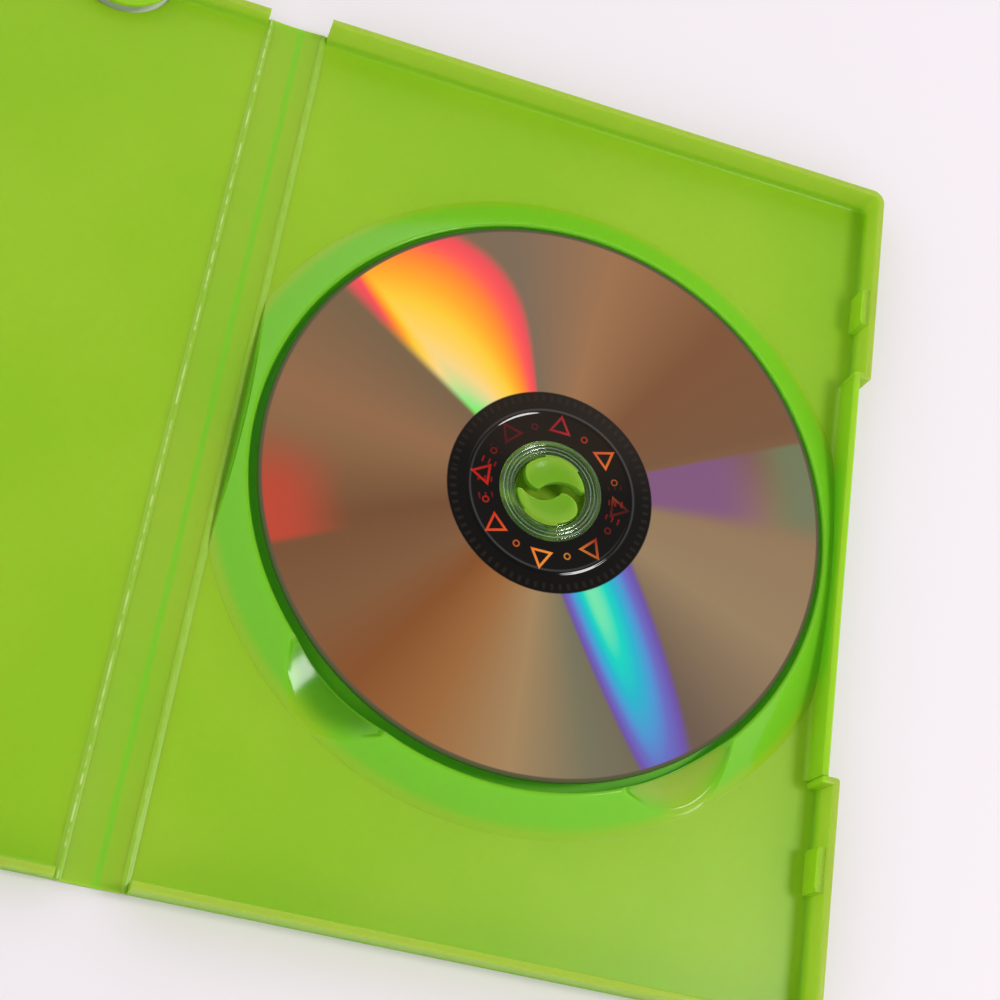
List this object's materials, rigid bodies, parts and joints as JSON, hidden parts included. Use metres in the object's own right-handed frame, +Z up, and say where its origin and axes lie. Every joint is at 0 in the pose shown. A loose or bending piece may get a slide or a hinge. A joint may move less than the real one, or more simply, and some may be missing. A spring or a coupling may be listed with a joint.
{
  "type": "game disc case",
  "caption": "Translucent green plastic case lying open and flat, with a push hub that holds a disc, and covers that fold shut round a narrow spine.",
  "frame": {"origin": "middle of the spine, on the surface that the open case lies on", "axes": "+X from the spine to the back cover's opening edge, +Y to the top of the case along the spine, +Z up out of the open case"},
  "size_m": [0.2786, 0.19, 0.0082],
  "materials": {
    "case_plastic": "translucent lime green moulded polypropylene with a fine satin gloss",
    "disc": "clear polycarbonate over a metal layer that splits light into colours"
  },
  "bodies": {
    "back_cover": {"back_cover": "case_plastic", "game_disc": "disc"},
    "spine": {"spine": "case_plastic"},
    "front_cover": {"front_cover": "case_plastic"},
    "hub_tab_upper": {"hub_tab_upper": "case_plastic"},
    "hub_tab_lower": {"hub_tab_lower": "case_plastic"}
  },
  "joints": [
    {"name": "back_fold", "type": "hinge", "parent": "back_cover", "child": "spine", "pos_m": [0.0059, 0, 0.001], "axis": [0, 1, 0], "range_deg": [0, 90]},
    {"name": "front_fold", "type": "hinge", "parent": "spine", "child": "front_cover", "pos_m": [-0.0059, 0, 0.001], "axis": [0, 1, 0], "range_deg": [0, 90]},
    {"name": "upper_tab_bend", "type": "hinge", "parent": "back_cover", "child": "hub_tab_upper", "pos_m": [0.07229, 0.00655, 0.00175], "axis": [0.9781, -0.2079, 0], "range_deg": [0, 7], "stiffness_Nm_per_rad": 0.2},
    {"name": "lower_tab_bend", "type": "hinge", "parent": "back_cover", "child": "hub_tab_lower", "pos_m": [0.06951, -0.00655, 0.00175], "axis": [-0.9781, 0.2079, 0], "range_deg": [0, 7], "stiffness_Nm_per_rad": 0.2}
  ]
}
